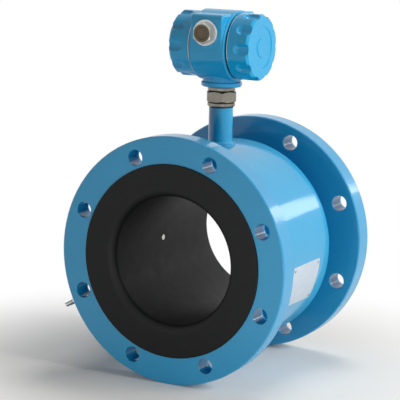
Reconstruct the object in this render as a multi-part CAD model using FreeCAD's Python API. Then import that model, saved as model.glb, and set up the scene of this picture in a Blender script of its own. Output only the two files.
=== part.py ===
"""Electromagnetic flow meter, DN 200 with drilled flanges and a swivelling two-chamber head.

Millimetres. The origin is the centre of the inlet flange's face. +Y runs along the pipe with the flow,
+Z up through the stem to the head, and +X to the right of someone looking along the flow.
"""
import FreeCAD, Part
import math
import os

X, Y, Z = FreeCAD.Vector(1, 0, 0), FreeCAD.Vector(0, 1, 0), FreeCAD.Vector(0, 0, 1)

# Fits and edges shared by many pieces
seat_gap = 0.1          # radial clearance of pieces that are welded, glued or screwed together
running_gap = 0.1       # radial clearance of threads and spigots that turn
free_gap = 0.4          # clearance between pieces that pass each other
thread_chamfer = 1.0    # chamfer on the end of a stud or an outside thread
same_place = 0.001      # how near two edges' sizes or places are when they count as the same

# Pipe end of the meter: flanges, tube and liner
flange_spacing = 276.0
flange_d = 340.0
flange_t = 30.0
flange_chamfer = 1.5
flange_weld = 6.0
bolt_hole_d = 22.0
bolt_hole_inset = 22.5  # from the flange's rim to the middle of a bolt hole
bolt_hole_chamfer = 0.8
bolt_count = 8
bore_d = 176.0
liner_wall = 7.4
tube_wall = 6.0
liner_proud = 2.0
liner_hole_gap = 4.0    # from the liner's edge on the flange face to the bolt holes
liner_recess = 3.0
liner_lip = 12.0
liner_rim = 1.2

# Earthing stud on the inlet flange's rim
earth_angle = 206.0
earth_stud_d = 8.0
earth_stud_out = 27.5
earth_stud_in = 18.0
earth_spot_d = 19.0
earth_washer_d = 16.0
earth_washer_t = 1.6
earth_spring_d = 13.0
earth_spring_t = 2.2
earth_nut_flats = 13.0
earth_nut_h = 6.5

# Coil casing
coil_room = 37.5        # from the tube to the inside of the casing
casing_wall = 4.0
casing_len = 128.0
casing_edge = 1.2
casing_end_t = 5.0

# Magnet: two saddle coils, their cores and the yoke that joins them
coil_window_x = 44.0
coil_window_y = 46.0
coil_build = 30.0
coil_corner = 8.0
coil_seat_gap = 0.3
coil_yoke_gap = 6.2
core_inset = 1.0
yoke_width = 60.0
yoke_t = 3.0
yoke_wire_hole_d = 14.0
core_screw_d = 6.0
core_screw_head_d = 10.0
core_screw_head_h = 6.0
core_screw_head_gap = 2.0
core_screw_len = 17.0
core_screw_spacing = 30.0

# Measuring electrodes at both ends of the horizontal diameter
electrode_head_d = 10.0
electrode_head_t = 3.4
electrode_inset = 0.1   # of the head's face below the liner's bore
electrode_edge = 1.0
electrode_d = 6.0
electrode_len = 33.0
bush_d = 14.0
bush_collar_d = 20.0
bush_collar_t = 2.0
boss_d = 26.0
boss_h = 6.5
disc_spring_d = 14.0
disc_spring_t = 1.0
disc_spring_rise = 0.9
electrode_nut_flats = 10.0
electrode_nut_h = 5.0

# Bare plate riveted to the casing's right side, its angles measured above +X
nameplate_low_angle = -27.0
nameplate_high_angle = -3.0
nameplate_inset = 13.0  # from the casing's inlet end
nameplate_len = 83.0
plate_t = 0.8
plate_corner = 3.0
rivet_d = 2.4
rivet_head_d = 4.4
rivet_head_h = 1.0
rivet_inset = 5.0
rivet_depth = 2.5

# Stem and swivelling union
stem_d = 33.7
stem_wall = 3.25
stem_above_casing = 52.0
stem_weld = 5.0
stem_weld_root = 1.0
stem_gasket_t = 1.2
passage_d = 19.0
tail_ring_d = 38.6
tail_ring_h = 6.6
tail_spigot_len = 14.0
tail_thread_d = 34.0
tail_thread_len = 8.0
union_chamfer = 1.5
union_gasket_t = 1.0
union_nut_flats = 40.0
union_nut_lip = 3.0
sleeve_d = 28.8
sleeve_collar_h = 2.5
sleeve_grip = 19.0
lock_ring_h = 6.6

# Head housing: a barrel across the pipe with two chambers
barrel_d = 98.0
barrel_len = 54.0
barrel_edge = 1.2
head_above_collar = 57.0
chamber_d = 82.0
mouth_d = 84.0
bulkhead_x = -14.5
bulkhead_t = 5.0
collar_d = 57.0
collar_h = 7.5
collar_chamfer = 1.5
neck_d = 53.0
neck_h = 24.0
shoulder_len = 49.0
shoulder_out = 49.5
shoulder_top = 45.0
shoulder_bottom = -4.0
shoulder_edge_r = 7.0
shoulder_corner_r = 3.0
entry_z = 20.0
entry_d = 20.0
wire_window_h = 12.0
grommet_z = 26.0
grommet_d = 12.0
grommet_bore_d = 7.0
grommet_lip_d = 16.0
grommet_lip_t = 1.5

# Screwed covers
cover_d = 91.0
cover_len = 32.4
cover_wall = 4.5
cover_edge = 3.0
spigot_wall = 4.3
spigot_len = 11.5
spigot_chamfer = 0.8
seal_t = 1.8
seal_inset = 0.9
seal_edge = 0.4
lobe_count = 10
lobe_cut_r = 10.0
lobe_cut_depth = 4.5
lobe_cut_len = 13.0
cover_dish_d = 60.0
cover_dish_depth = 1.2
cover_hub_d = 26.0

# Conduit plugs
plug_flats = 26.0
plug_head_h = 9.0
plug_thread_len = 9.5
plug_dimple_d = 17.0
plug_dimple_depth = 1.5
plug_ring_d = 36.0
plug_ring_t = 3.6
plug_ring_edge = 0.8

# Inside the head
board_t = 1.6
board_d = 70.0
terminal_standoff = 3.0
pillar_flats = 6.0
pillar_circle_d = 58.0
pillar_count = 3
pillar_first_angle = 270.0
terminal_board_top = 12.0
terminal_board_bottom = -20.0
terminal_pillar_y = 30.5
power_board_gap = 8.0
signal_board_gap = 12.0
board_screw_d = 5.5
board_screw_h = 2.0
transformer_size = (9.0, 26.0, 20.0)
capacitor_d = 8.0
capacitor_h = 7.0
processor_size = (2.0, 14.0, 14.0)
terminal_count = 8
terminal_pitch = 6.5
terminal_depth = 12.0
terminal_height = 16.0
terminal_z = -8.0
terminal_wire_d = 3.4
terminal_screw_d = 4.0
terminal_screw_h = 0.8
inner_earth_d = 8.0
inner_earth_h = 3.0
inner_earth_y = 22.0
inner_earth_z = -27.0

# Sizes that follow from the ones above
mid_y = flange_spacing / 2
liner_outer_r = bore_d / 2 + liner_wall
tube_r = liner_outer_r + seat_gap + tube_wall
bolt_circle_r = flange_d / 2 - bolt_hole_inset
liner_face_r = bolt_circle_r - bolt_hole_d / 2 - liner_hole_gap
casing_in_r = tube_r + coil_room
casing_r = casing_in_r + casing_wall
casing_start = mid_y - casing_len / 2
nameplate_start = casing_start + nameplate_inset
yoke_out_r = casing_in_r - core_screw_head_gap - core_screw_head_h
yoke_in_r = yoke_out_r - yoke_t
coil_in_r = tube_r + coil_seat_gap
coil_out_r = yoke_in_r - coil_yoke_gap
stem_top_z = casing_r + stem_above_casing
union_nut_z = stem_top_z + stem_gasket_t + tail_ring_h + free_gap
tail_top_z = union_nut_z - free_gap + tail_thread_len
sleeve_collar_z = tail_top_z + union_gasket_t
nut_lip_z = sleeve_collar_z + sleeve_collar_h + seat_gap
lock_ring_z = nut_lip_z + union_nut_lip + free_gap
collar_z = lock_ring_z + lock_ring_h
head_z = collar_z + head_above_collar
sleeve_top_z = collar_z + sleeve_grip
barrel_half = barrel_len / 2
bulkhead_right_x = bulkhead_x + bulkhead_t
terminal_board_x = bulkhead_right_x + terminal_standoff
power_board_x = bulkhead_x - power_board_gap
signal_board_x = power_board_x - board_t - signal_board_gap


def point(x, y, z):
    return FreeCAD.Vector(x, y, z)


def rod(radius, start, end):
    """Solid cylinder between two points."""
    return Part.makeCylinder(radius, (end - start).Length, start, end - start)


def ring(outer_r, inner_r, start, end):
    """Plain ring between two points."""
    return rod(outer_r, start, end).cut(rod(inner_r, start, end))


def block(corner, size):
    """Rectangular block from its low corner."""
    return Part.makeBox(size.x, size.y, size.z, corner)


def turned(base, axis, outline):
    """Solid of revolution about axis, from a closed outline of (radius, distance along the axis)."""
    side = Z if abs(axis.z) < 0.5 else X
    corners = [base + side * radius + axis * along for radius, along in outline]
    face = Part.Face(Part.makePolygon(corners + corners[:1]))
    return face.revolve(base, axis, 360)


def hexagon(flats, height, chamfer_ends, base, axis):
    """Hexagonal prism whose corners are chamfered at 30 degrees on the ends asked for: (low, high)."""
    corner_r = flats / math.sqrt(3)
    side = Z if abs(axis.z) < 0.5 else X
    other = axis.cross(side)
    turns = [math.radians(60 * i) for i in range(6)]
    corners = [base + (side * math.cos(a) + other * math.sin(a)) * corner_r for a in turns]
    prism = Part.Face(Part.makePolygon(corners + corners[:1])).extrude(axis * height)
    flat_r = flats / 2
    drop = (corner_r - flat_r) * math.tan(math.radians(30))
    low, high = (drop if chamfered else 0 for chamfered in chamfer_ends)
    low_r, high_r = (flat_r if chamfered else corner_r for chamfered in chamfer_ends)
    envelope = [(0, 0), (low_r, 0), (corner_r, low), (corner_r, height - high), (high_r, height), (0, height)]
    distinct = [spot for i, spot in enumerate(envelope) if spot != envelope[i - 1]]
    return prism.common(turned(base, axis, distinct))


def edges_along(shape, direction):
    """Straight edges of a shape that lie along one direction."""
    found = []
    for edge in shape.Edges:
        if isinstance(edge.Curve, Part.Line) and abs(edge.Curve.Direction.dot(direction)) > 0.999:
            found.append(edge)
    return found


def circles_at(shape, radius, along_y):
    """Circular edges about the pipe axis, of one radius and at one place along the pipe."""
    found = []
    for edge in shape.Edges:
        if isinstance(edge.Curve, Part.Circle) and abs(edge.Curve.Radius - radius) < same_place:
            if abs(edge.Curve.Center.y - along_y) < same_place:
                found.append(edge)
    return found


def radial(angle):
    """Unit vector square to the pipe, at an angle from +X towards +Z."""
    return point(math.cos(math.radians(angle)), 0, math.sin(math.radians(angle)))


def around_pipe(shape, angle):
    """Copy of a shape turned about the pipe axis, from +X towards +Z."""
    copy = shape.copy()
    copy.rotate(point(0, 0, 0), Y * -1, angle)
    return copy


# Pipe end of the meter

def flange(face_y, inward):
    """Slip-on flange with the recess for its liner and with bolt holes chamfered on the back."""
    rim, hole_r, recess_r = flange_d / 2, tube_r + seat_gap, liner_face_r + seat_gap
    base = point(0, face_y, 0)
    plate = turned(base, inward, [
        (hole_r, liner_recess), (recess_r, liner_recess), (recess_r, 0), (rim - flange_chamfer, 0),
        (rim, flange_chamfer), (rim, flange_t - flange_chamfer), (rim - flange_chamfer, flange_t),
        (hole_r, flange_t),
    ])
    bolt_r = bolt_hole_d / 2
    drill = turned(base, inward, [
        (0, 0), (bolt_r, 0), (bolt_r, flange_t - bolt_hole_chamfer),
        (bolt_r + bolt_hole_chamfer, flange_t), (0, flange_t),
    ])
    for i in range(bolt_count):
        plate = plate.cut(drill.translated(radial((i + 0.5) * 360 / bolt_count) * bolt_circle_r))
    return plate


def flange_welds():
    """Fillet welds all round between the back of each flange and the tube."""
    tube_side, leg = tube_r + seat_gap, flange_weld
    outline = [(tube_side, flange_t), (tube_side + leg, flange_t), (tube_side, flange_t + leg)]
    return Part.makeCompound([turned(Y * 0, Y, outline), turned(Y * flange_spacing, Y * -1, outline)])


def earth_seat():
    """Centre of the flat that the earthing stud's washers sit on, and the stud's height."""
    z = flange_d / 2 * math.sin(math.radians(earth_angle))
    lowest = abs(z) + earth_spot_d / 2
    return point(-math.sqrt((flange_d / 2) ** 2 - lowest ** 2), flange_t / 2, z)


def inlet_flange():
    seat = earth_seat()
    spot = rod(earth_spot_d / 2, seat, seat - X * earth_stud_out)
    tapped = rod(earth_stud_d / 2 + seat_gap, seat, seat + X * (earth_stud_in + seat_gap))
    return flange(0, Y).cut(spot).cut(tapped)


def earth_fastening():
    """Stud, washers and nuts of the earthing point, stacked outwards from the flange's rim."""
    seat = earth_seat()
    out = X * -1
    stud_r, stud_len = earth_stud_d / 2, earth_stud_in + earth_stud_out
    stud = turned(seat - out * earth_stud_in, out, [
        (0, 0), (stud_r, 0), (stud_r, stud_len - thread_chamfer), (stud_r - thread_chamfer, stud_len),
        (0, stud_len),
    ])
    hole_r = earth_stud_d / 2 + seat_gap
    stack = [("washer", earth_washer_t), ("washer", earth_washer_t), ("spring", earth_spring_t)]
    washers, at = [], seat
    for kind, thickness in stack:
        width = earth_spring_d if kind == "spring" else earth_washer_d
        washers.append(ring(width / 2, hole_r, at, at + out * thickness))
        at = at + out * thickness
    nut = hexagon(earth_nut_flats, earth_nut_h, (True, True), at, out)
    nut = nut.cut(rod(hole_r, at, at + out * earth_nut_h))
    return stud, Part.makeCompound(washers), nut


def measuring_tube():
    tube = ring(tube_r, tube_r - tube_wall, Y * liner_recess, Y * (flange_spacing - liner_recess))
    return tube.cut(rod(bush_d / 2, point(-casing_r, mid_y, 0), point(casing_r, mid_y, 0)))


def rubber_liner():
    """Liner moulded through the tube and turned out over both flange faces in one piece."""
    bore_r, face_r = bore_d / 2, liner_face_r
    last, floor = flange_spacing + liner_proud, liner_recess - seat_gap
    liner = turned(point(0, 0, 0), Y, [
        (bore_r, -liner_proud), (face_r, -liner_proud), (face_r, floor), (liner_outer_r, floor),
        (liner_outer_r, flange_spacing - floor), (face_r, flange_spacing - floor), (face_r, last),
        (bore_r, last),
    ])
    ends = (-liner_proud, last)
    liner = liner.makeFillet(liner_lip, [edge for y in ends for edge in circles_at(liner, bore_r, y)])
    liner = liner.makeFillet(liner_rim, [edge for y in ends for edge in circles_at(liner, face_r, y)])
    pocket = bore_r + electrode_inset + electrode_head_t + seat_gap
    for side in (X, X * -1):
        centre = point(0, mid_y, 0)
        liner = liner.cut(rod(electrode_d / 2 + seat_gap, centre, centre + side * tube_r))
        liner = liner.cut(rod(electrode_head_d / 2 + seat_gap, centre, centre + side * pocket))
    return liner


# Coil casing and magnet

def coil_casing():
    """Rolled shell with the hole that the stem is welded into and the rivet holes of its plate."""
    low, high = casing_start, casing_start + casing_len
    shell = turned(point(0, 0, 0), Y, [
        (casing_in_r, low), (casing_r - casing_edge, low), (casing_r, low + casing_edge),
        (casing_r, high - casing_edge), (casing_r - casing_edge, high), (casing_in_r, high),
    ])
    stem_hole = rod(stem_d / 2 + seat_gap, point(0, mid_y, tube_r), point(0, mid_y, stem_top_z))
    return shell.cut(stem_hole).cut(rivet_drills())


def casing_end(start_y):
    """Flat ring that closes one end of the casing against the tube."""
    return ring(casing_in_r - seat_gap, tube_r + seat_gap, Y * start_y, Y * (start_y + casing_end_t))


def rounded_block(length_x, length_y, corner_r):
    """Tall block with rounded corners that stands on the pipe axis at mid length."""
    shape = block(point(-length_x / 2, mid_y - length_y / 2, tube_r / 2), point(length_x, length_y, tube_r))
    return shape.makeFillet(corner_r, edges_along(shape, Z))


def saddle_coil(angle):
    """Winding bent over the tube: a racetrack ring taken from a thick shell around the pipe."""
    outer_x, outer_y = coil_window_x + 2 * coil_build, coil_window_y + 2 * coil_build
    track = rounded_block(outer_x, outer_y, coil_corner + coil_build)
    track = track.cut(rounded_block(coil_window_x, coil_window_y, coil_corner))
    layer = ring(coil_out_r, coil_in_r, Y * casing_start, Y * (casing_start + casing_len))
    return around_pipe(track.common(layer), angle)


def core_screw_holes(radius, depth):
    """Drills for the core screws, from outside the yoke towards the pipe."""
    drills = []
    for side in (-1, 1):
        start = point(0, mid_y + side * core_screw_spacing / 2, yoke_out_r)
        drills.append(rod(radius, start, start - Z * depth))
    return drills


def pole_core(angle):
    """Core block that fills the coil's window between the tube and the yoke."""
    core = rounded_block(coil_window_x - 2 * core_inset, coil_window_y - 2 * core_inset, coil_corner)
    core = core.common(ring(yoke_in_r - seat_gap, tube_r + seat_gap, Y * 0, Y * flange_spacing))
    for drill in core_screw_holes(core_screw_d / 2 + seat_gap, core_screw_len + seat_gap):
        core = core.cut(drill)
    return around_pipe(core, angle)


def return_yoke():
    """Steel band around both coils that carries the flux back, drilled for the screws and the wires."""
    low = mid_y - yoke_width / 2
    band = ring(yoke_out_r, yoke_in_r, Y * low, Y * (low + yoke_width))
    for drill in core_screw_holes(core_screw_d / 2 + seat_gap, 2 * yoke_t):
        band = band.cut(drill).cut(around_pipe(drill, 180))
    wires = rod(yoke_wire_hole_d / 2, point(0, mid_y, tube_r), point(0, mid_y, casing_r))
    return band.cut(wires)


def core_screws():
    """Screws that clamp both cores to the yoke."""
    screws = []
    for side in (-1, 1):
        seat = point(0, mid_y + side * core_screw_spacing / 2, yoke_out_r)
        head = rod(core_screw_head_d / 2, seat + Z * seat_gap, seat + Z * core_screw_head_h)
        screw = head.fuse(rod(core_screw_d / 2, seat + Z * seat_gap, seat - Z * core_screw_len))
        screws += [screw, around_pipe(screw, 180)]
    return Part.makeCompound(screws)


# Electrodes

def on_electrode_axes(make):
    """Compound of one piece made on the right electrode's axis and its twin on the left."""
    centre = point(0, mid_y, 0)
    return Part.makeCompound([make(centre, X), make(centre, X * -1)])


def electrode(side):
    """Electrode with its flat head in the liner and its shank out through the tube."""
    head_start = bore_d / 2 + electrode_inset
    head_end, tip = head_start + electrode_head_t, head_start + electrode_len
    head_r, shank_r, edge = electrode_head_d / 2, electrode_d / 2, electrode_edge
    return turned(point(0, mid_y, 0), side, [
        (0, head_start), (head_r - edge, head_start), (head_r, head_start + edge), (head_r, head_end),
        (shank_r, head_end), (shank_r, tip - thread_chamfer), (shank_r - thread_chamfer, tip), (0, tip),
    ])


def electrode_boss(centre, side):
    """Boss welded on the tube around the electrode's hole."""
    low, high = centre + side * (tube_r - tube_wall), centre + side * (tube_r + boss_h)
    return ring(boss_d / 2, bush_d / 2, low, high).cut(rod(tube_r + seat_gap, Y * 0, Y * flange_spacing))


def electrode_bush(centre, side):
    """Insulating bush with a collar on the boss."""
    low, seat = tube_r - tube_wall + seat_gap, tube_r + boss_h
    body_r, hole_r = bush_d / 2 - seat_gap, electrode_d / 2 + seat_gap
    return turned(centre, side, [
        (hole_r, low), (body_r, low), (body_r, seat), (bush_collar_d / 2, seat),
        (bush_collar_d / 2, seat + bush_collar_t), (hole_r, seat + bush_collar_t),
    ])


def disc_springs(centre, side):
    """Two conical spring washers set rim to rim."""
    seat = tube_r + boss_h + bush_collar_t
    hole_r, rim_r = electrode_d / 2 + seat_gap, disc_spring_d / 2
    crown = disc_spring_rise + disc_spring_t
    lower = turned(centre, side, [
        (hole_r, seat), (rim_r, seat + disc_spring_rise), (rim_r, seat + crown),
        (hole_r, seat + disc_spring_t),
    ])
    upper = turned(centre, side, [
        (hole_r, seat + 2 * crown), (rim_r, seat + crown + disc_spring_t), (rim_r, seat + crown),
        (hole_r, seat + 2 * crown - disc_spring_t),
    ])
    return Part.makeCompound([lower, upper])


def electrode_nut(centre, side):
    seat = tube_r + boss_h + bush_collar_t + 2 * (disc_spring_rise + disc_spring_t)
    nut = hexagon(electrode_nut_flats, electrode_nut_h, (True, True), centre + side * seat, side)
    return nut.cut(rod(electrode_d / 2 + seat_gap, centre, centre + side * casing_r))


# Plate on the casing

def nameplate():
    """Thin bare plate with round corners that lies on the casing."""
    inner = casing_r + seat_gap
    section = Part.Face(Part.makePolygon([
        point(inner, nameplate_start, 0), point(inner + plate_t, nameplate_start, 0),
        point(inner + plate_t, nameplate_start + nameplate_len, 0),
        point(inner, nameplate_start + nameplate_len, 0), point(inner, nameplate_start, 0),
    ]))
    plate = section.revolve(Y * 0, Y * -1, nameplate_high_angle - nameplate_low_angle)
    across = [edge for edge in plate.Edges if abs(edge.Length - plate_t) < seat_gap]
    plate = around_pipe(plate.makeFillet(plate_corner, across), nameplate_low_angle)
    return plate.cut(rivet_drills())


def rivet_places():
    """Angle above +X and place along the pipe of the rivet in each corner of the plate."""
    inset = math.degrees(rivet_inset / casing_r)
    angles = (nameplate_low_angle + inset, nameplate_high_angle - inset)
    rows = (nameplate_start + rivet_inset, nameplate_start + nameplate_len - rivet_inset)
    return [(angle, y) for angle in angles for y in rows]


def rivet_drills():
    """Drills for the rivets, from inside the casing's wall out through the plate."""
    low, high = casing_r - rivet_depth - seat_gap, casing_r + 2 * plate_t
    return [around_pipe(rod(rivet_d / 2 + seat_gap / 2, point(low, y, 0), point(high, y, 0)), angle)
            for angle, y in rivet_places()]


def plate_rivets():
    """Rivets with low chamfered heads, their shanks along radii of the casing."""
    low, seat = casing_r - rivet_depth, casing_r + seat_gap + plate_t
    shank_r, head_r, edge = rivet_d / 2, rivet_head_d / 2, rivet_head_h / 2
    rivets = []
    for angle, y in rivet_places():
        rivet = turned(point(0, y, 0), X, [
            (0, low), (shank_r, low), (shank_r, seat), (head_r, seat), (head_r, seat + edge),
            (head_r - edge, seat + rivet_head_h), (0, seat + rivet_head_h),
        ])
        rivets.append(around_pipe(rivet, angle))
    return Part.makeCompound(rivets)


# Stem and swivelling union

def stem_pipe():
    """Pipe welded upright into the casing, with its weld bead."""
    bottom = point(0, mid_y, casing_in_r)
    top = point(0, mid_y, stem_top_z)
    outer_r, wall_middle = stem_d / 2, (stem_d - stem_wall) / 2
    bead_low = math.sqrt(casing_r ** 2 - (outer_r + stem_weld) ** 2) - stem_weld_root
    bead = turned(point(0, mid_y, 0), Z, [
        (wall_middle, bead_low), (outer_r + stem_weld, bead_low), (outer_r, casing_r + stem_weld),
        (wall_middle, casing_r + stem_weld),
    ])
    bead = bead.cut(rod(casing_r + seat_gap, Y * 0, Y * flange_spacing))
    pipe = rod(outer_r, bottom, top).fuse(bead).removeSplitter()
    return pipe.cut(rod(outer_r - stem_wall, bottom, top))


def stem_gasket():
    base = point(0, mid_y, stem_top_z)
    return ring(stem_d / 2, stem_d / 2 - stem_wall, base, base + Z * stem_gasket_t)


def union_tail():
    """Lower half of the union: spigot in the stem, round shoulder and the thread for the nut."""
    spigot_r, ring_r, thread_r = stem_d / 2 - stem_wall - seat_gap, tail_ring_d / 2, tail_thread_d / 2
    bore_r = passage_d / 2
    seat = stem_top_z + stem_gasket_t
    shoulder = seat + tail_ring_h
    return turned(point(0, mid_y, 0), Z, [
        (bore_r, stem_top_z - tail_spigot_len), (spigot_r, stem_top_z - tail_spigot_len), (spigot_r, seat),
        (ring_r - union_chamfer, seat), (ring_r, seat + union_chamfer), (ring_r, shoulder - union_chamfer),
        (ring_r - union_chamfer, shoulder), (thread_r, shoulder), (thread_r, tail_top_z - thread_chamfer),
        (thread_r - thread_chamfer, tail_top_z), (bore_r, tail_top_z),
    ])


def union_gasket():
    base = point(0, mid_y, tail_top_z)
    return ring(tail_thread_d / 2 - thread_chamfer, passage_d / 2, base, base + Z * union_gasket_t)


def union_nut():
    """Hexagon nut that draws the sleeve's collar down on the tail."""
    nut = hexagon(union_nut_flats, nut_lip_z + union_nut_lip - union_nut_z, (True, True),
                  point(0, mid_y, union_nut_z), Z)
    thread = rod(tail_thread_d / 2 + running_gap, point(0, mid_y, union_nut_z), point(0, mid_y, nut_lip_z))
    lip_hole = rod(sleeve_d / 2 + free_gap, point(0, mid_y, nut_lip_z), point(0, mid_y, collar_z))
    return nut.cut(thread).cut(lip_hole)


def swivel_sleeve():
    """Threaded sleeve that the head turns with; its collar is held in the union nut."""
    collar_r, shank_r, bore_r = tail_thread_d / 2 - free_gap, sleeve_d / 2, passage_d / 2
    collar_top = sleeve_collar_z + sleeve_collar_h
    return turned(point(0, mid_y, 0), Z, [
        (bore_r, sleeve_collar_z), (collar_r, sleeve_collar_z), (collar_r, collar_top), (shank_r, collar_top),
        (shank_r, sleeve_top_z - thread_chamfer), (shank_r - thread_chamfer, sleeve_top_z),
        (bore_r, sleeve_top_z),
    ])


def lock_ring():
    """Round nut that jams the sleeve in the head's collar."""
    hole_r, outer_r, c = sleeve_d / 2 + seat_gap, tail_ring_d / 2, union_chamfer
    return turned(point(0, mid_y, lock_ring_z), Z, [
        (hole_r, 0), (outer_r - c, 0), (outer_r, c), (outer_r, lock_ring_h - c), (outer_r - c, lock_ring_h),
        (hole_r, lock_ring_h),
    ])


# Head

def head_point(x, y, z):
    """Point given from the middle of the head's barrel."""
    return point(x, mid_y + y, head_z + z)


def shoulder_block():
    """Squared cheeks on both sides of the barrel, where the conduit entries are."""
    low = head_point(-shoulder_len / 2, -shoulder_out, shoulder_bottom)
    cheeks = block(low, point(shoulder_len, 2 * shoulder_out, shoulder_top - shoulder_bottom))
    top = [edge for edge in edges_along(cheeks, X) if edge.CenterOfMass.z > head_z]
    cheeks = cheeks.makeFillet(shoulder_edge_r, top)
    return cheeks.makeFillet(shoulder_corner_r, edges_along(cheeks, Z))


def head_housing():
    """Cast barrel with its cheeks, neck and collar, two chambers, the wall between them and the entries."""
    outer_r = barrel_d / 2
    barrel = turned(head_point(0, 0, 0), X, [
        (0, -barrel_half), (outer_r - barrel_edge, -barrel_half), (outer_r, -barrel_half + barrel_edge),
        (outer_r, barrel_half - barrel_edge), (outer_r - barrel_edge, barrel_half), (0, barrel_half),
    ])
    collar_r = collar_d / 2
    neck = turned(point(0, mid_y, collar_z), Z, [
        (0, 0), (collar_r - collar_chamfer, 0), (collar_r, collar_chamfer),
        (collar_r, collar_h - collar_chamfer), (neck_d / 2, collar_h), (neck_d / 2, neck_h), (0, neck_h),
    ])
    casting = barrel.fuse([shoulder_block(), neck]).removeSplitter()
    mouth = spigot_len - seal_t + 2 * free_gap
    chamber_r, mouth_r = chamber_d / 2, mouth_d / 2
    hollows = [
        rod(chamber_r, head_point(bulkhead_right_x, 0, 0), head_point(barrel_half, 0, 0)),
        rod(mouth_r, head_point(barrel_half - mouth, 0, 0), head_point(barrel_half, 0, 0)),
        rod(mouth_r, head_point(-barrel_half, 0, 0), head_point(bulkhead_x, 0, 0)),
        rod(sleeve_d / 2 + seat_gap, point(0, mid_y, collar_z), point(0, mid_y, sleeve_top_z + seat_gap)),
        rod(passage_d / 2, head_point(bulkhead_x, 0, wire_window_h - chamber_r),
            head_point(bulkhead_right_x, 0, wire_window_h - chamber_r)),
        rod(grommet_d / 2, head_point(bulkhead_x, 0, grommet_z), head_point(bulkhead_right_x, 0, grommet_z)),
    ]
    for side in (-1, 1):
        hollows.append(rod(entry_d / 2, head_point(0, side * shoulder_out, entry_z),
                           head_point(0, side * chamber_r / 2, entry_z)))
    return casting.cut(hollows)


def cover(direction):
    """Screwed cover: threaded spigot, plain skirt, fluted grip round a dished end."""
    base = head_point((barrel_half + seal_t) * direction, 0, 0)
    axis = X * direction
    spigot_r, outer_r = mouth_d / 2 - running_gap, cover_d / 2
    cavity_r = spigot_r - spigot_wall
    shell = turned(base, axis, [
        (cavity_r, -spigot_len + seal_t), (spigot_r - spigot_chamfer, -spigot_len + seal_t),
        (spigot_r, -spigot_len + seal_t + spigot_chamfer), (spigot_r, 0), (outer_r - spigot_chamfer, 0),
        (outer_r, spigot_chamfer), (outer_r, cover_len - cover_edge), (outer_r - cover_edge, cover_len),
        (cover_dish_d / 2, cover_len), (cover_dish_d / 2 - cover_dish_depth, cover_len - cover_dish_depth),
        (cover_hub_d / 2 + cover_dish_depth, cover_len - cover_dish_depth), (cover_hub_d / 2, cover_len),
        (0, cover_len), (0, cover_len - cover_wall), (cavity_r, cover_len - cover_wall),
    ])
    flute_start = base + axis * (cover_len - lobe_cut_len)
    reach = outer_r + lobe_cut_r - lobe_cut_depth
    flutes = []
    for i in range(lobe_count):
        turn = 2 * math.pi * i / lobe_count
        centre = flute_start + (Y * math.cos(turn) + Z * math.sin(turn)) * reach
        flutes += [rod(lobe_cut_r, centre, centre + axis * lobe_cut_len), Part.makeSphere(lobe_cut_r, centre)]
    return shell.cut(flutes)


def cover_seal(direction):
    """Rubber ring squeezed between the barrel's end and the cover's shoulder."""
    inner, outer, e = mouth_d / 2 + running_gap, cover_d / 2 - seal_inset, seal_edge
    return turned(head_point(barrel_half * direction, 0, 0), X * direction, [
        (inner, 0), (outer - e, 0), (outer, e), (outer, seal_t - e), (outer - e, seal_t), (inner, seal_t),
    ])


def conduit_plug(direction):
    """Hexagon plug with a dimpled head and a threaded shank in the conduit entry."""
    axis = Y * direction
    seat = head_point(0, shoulder_out * direction, entry_z) + axis * plug_ring_t
    head = hexagon(plug_flats, plug_head_h, (False, True), seat, axis)
    shank = rod(entry_d / 2 - running_gap, seat - axis * (plug_ring_t + plug_thread_len), seat)
    dimple = turned(seat + axis * plug_head_h, axis * -1, [
        (0, 0), (plug_dimple_d / 2, 0), (plug_dimple_d / 2 - plug_dimple_depth, plug_dimple_depth),
        (0, plug_dimple_depth),
    ])
    return head.fuse(shank).removeSplitter().cut(dimple)


def plug_ring(direction):
    """Broad metal sealing ring under the plug."""
    hole_r, outer_r, e = entry_d / 2 + running_gap, plug_ring_d / 2, plug_ring_edge
    return turned(head_point(0, shoulder_out * direction, entry_z), Y * direction, [
        (hole_r, 0), (outer_r, 0), (outer_r, plug_ring_t - e), (outer_r - e, plug_ring_t),
        (hole_r, plug_ring_t),
    ])


# Inside the head

def ring_of_pillars(x):
    """Centres of the round boards' pillars on a plane across the barrel."""
    spots, circle_r = [], pillar_circle_d / 2
    for i in range(pillar_count):
        turn = math.radians(pillar_first_angle + i * 360 / pillar_count)
        spots.append(head_point(x, circle_r * math.cos(turn), circle_r * math.sin(turn)))
    return spots


def terminal_pillars(x):
    """Centres of the terminal board's pillars, one beyond each end of the strip."""
    return [head_point(x, side * terminal_pillar_y, terminal_z) for side in (-1, 1)]


def board(x):
    """Round circuit board with its right face at x."""
    return rod(board_d / 2, head_point(x - board_t, 0, 0), head_point(x, 0, 0))


def terminal_board():
    """Circuit board cut straight above and below the terminals, clear of the cable entries."""
    depth = terminal_board_top - terminal_board_bottom
    stretch = block(head_point(terminal_board_x, -board_d / 2, terminal_board_bottom),
                    point(board_t, board_d, depth))
    return board(terminal_board_x + board_t).common(stretch)


def board_pillars():
    """Hexagon pillars that carry the boards off the bulkhead and off each other."""
    spans = [(terminal_pillars(bulkhead_right_x), terminal_standoff),
             (ring_of_pillars(power_board_x), power_board_gap),
             (ring_of_pillars(signal_board_x), signal_board_gap)]
    pillars = []
    for spots, length in spans:
        pillars += [hexagon(pillar_flats, length, (False, False), spot, X) for spot in spots]
    return Part.makeCompound(pillars)


def power_board():
    """Supply board with its transformer and capacitors on the bulkhead's side of the next board."""
    face = power_board_x - board_t
    depth, width, height = transformer_size
    transformer = block(head_point(face - depth, -width / 2, -height / 2), point(depth, width, height))
    shape = board(power_board_x).fuse(transformer)
    for z in (-1, 1):
        foot = head_point(face, 0, z * (height / 2 + capacitor_d))
        shape = shape.fuse(rod(capacitor_d / 2, foot, foot - X * capacitor_h))
    return shape.removeSplitter()


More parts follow.
